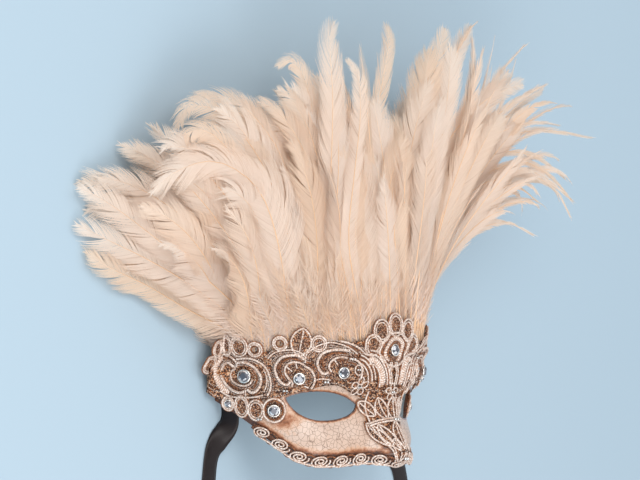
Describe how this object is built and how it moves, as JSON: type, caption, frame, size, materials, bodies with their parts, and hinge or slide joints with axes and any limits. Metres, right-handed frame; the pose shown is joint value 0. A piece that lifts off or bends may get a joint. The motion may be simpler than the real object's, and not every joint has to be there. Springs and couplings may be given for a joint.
{
  "type": "feathered half mask",
  "caption": "Feathered carnival half mask lying face up: hollow shell with eye holes, corded lace with rhinestones, braided edge, feather crown and satin tie ribbons.",
  "frame": {"origin": "centre of the whole outline seen from above, on the surface the mask lies on", "axes": "+Z is the way the face looks, up off the surface; +Y runs from chin to feather tips; +X is to the wearer's left"},
  "size_m": [0.4798, 0.3863, 0.1065],
  "materials": {
    "plaster": "satin",
    "lace": "satin",
    "gem": "polished",
    "braid": "satin",
    "satin": "satin",
    "feather": "matte"
  },
  "bodies": {
    "root": {"mask_shell": "plaster", "edge_braid": "braid", "lace_forehead": "lace", "lace_nose": "lace", "lace_temple_right": "lace", "lace_temple_left": "lace", "lace_brow_right": "lace", "lace_brow_left": "lace", "rhinestone_forehead": "gem", "rhinestone_temple_right": "gem", "rhinestone_temple_low_right": "gem", "rhinestone_cheek_right": "gem", "rhinestone_brow_outer_right": "gem", "rhinestone_brow_inner_right": "gem", "rhinestone_temple_left": "gem", "rhinestone_temple_low_left": "gem", "rhinestone_cheek_left": "gem", "rhinestone_brow_outer_left": "gem", "rhinestone_brow_inner_left": "gem", "ribbon_right": "satin", "ribbon_left": "satin", "feather_back_01": "feather", "feather_back_02": "feather", "feather_back_03": "feather", "feather_back_04": "feather", "feather_back_05": "feather", "feather_back_06": "feather", "feather_back_07": "feather", "feather_back_08": "feather", "feather_back_09": "feather", "feather_back_10": "feather", "feather_back_11": "feather", "feather_back_12": "feather", "feather_middle_01": "feather", "feather_middle_02": "feather", "feather_middle_03": "feather", "feather_middle_04": "feather", "feather_middle_05": "feather", "feather_middle_06": "feather", "feather_middle_07": "feather", "feather_middle_08": "feather", "feather_middle_09": "feather", "feather_middle_10": "feather", "feather_middle_11": "feather", "feather_front_01": "feather", "feather_front_02": "feather", "feather_front_03": "feather", "feather_front_04": "feather", "feather_front_05": "feather", "feather_front_06": "feather", "feather_front_07": "feather", "feather_front_08": "feather", "feather_front_09": "feather", "feather_front_10": "feather"}
  },
  "joints": []
}
